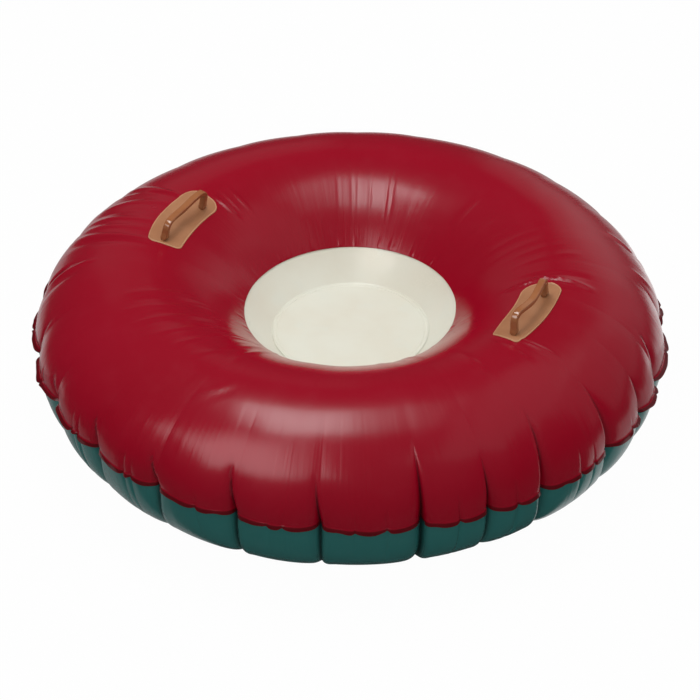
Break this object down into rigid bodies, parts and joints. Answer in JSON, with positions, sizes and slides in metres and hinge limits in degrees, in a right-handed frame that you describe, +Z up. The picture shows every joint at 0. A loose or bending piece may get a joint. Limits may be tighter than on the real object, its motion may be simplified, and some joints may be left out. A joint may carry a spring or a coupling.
{
  "type": "snow tube",
  "caption": "Round inflatable snow tube: a two-skin vinyl ring with a hanging sling seat, a pair of strap grab handles and a plugged air valve.",
  "frame": {"origin": "middle of the ring's footprint, on the surface it lies on", "axes": "+Z up out of the seat; the handles lie on -X (left) and +X (right); -Y is the front and the valve is at the rear, +Y"},
  "size_m": [0.9991, 0.9987, 0.2827],
  "materials": {
    "red_vinyl": "glossy embossed-free PVC sheet with soft wrinkles",
    "green_vinyl": "glossy PVC sheet",
    "cream_vinyl": "satin PVC sheet",
    "tan_vinyl": "satin moulded soft PVC",
    "valve_vinyl": "milky soft PVC"
  },
  "bodies": {
    "tube": {"top_skin": "red_vinyl", "bottom_skin": "green_vinyl", "seat_wall": "cream_vinyl", "seat_floor": "cream_vinyl", "left_handle_patch": "tan_vinyl", "right_handle_patch": "tan_vinyl", "valve_base": "red_vinyl"},
    "left_grip": {"left_handle_grip": "tan_vinyl"},
    "right_grip": {"right_handle_grip": "tan_vinyl"},
    "plug": {"valve_plug": "valve_vinyl"},
    "flap": {"valve_flap": "valve_vinyl"}
  },
  "joints": [
    {"name": "left_grip_tilt", "type": "hinge", "parent": "tube", "child": "left_grip", "pos_m": [-0.28689, -0.0204, 0.2465], "axis": [0.04, 0.9984, -0.0392], "range_deg": [-30, 30], "stiffness_Nm_per_rad": 0.08},
    {"name": "right_grip_tilt", "type": "hinge", "parent": "tube", "child": "right_grip", "pos_m": [0.31016, -0.02044, 0.25162], "axis": [0.0348, 0.9994, -0.0037], "range_deg": [-30, 30], "stiffness_Nm_per_rad": 0.08},
    {"name": "plug_open", "type": "hinge", "parent": "tube", "child": "plug", "pos_m": [0, 0.4791, 0.18117], "axis": [1, 0, 0], "range_deg": [0, 110]},
    {"name": "flap_swing", "type": "hinge", "parent": "tube", "child": "flap", "pos_m": [0, 0.46509, 0.16418], "axis": [-1, 0, 0], "range_deg": [0, 40], "stiffness_Nm_per_rad": 0.0005, "springref_deg": -5.73}
  ]
}
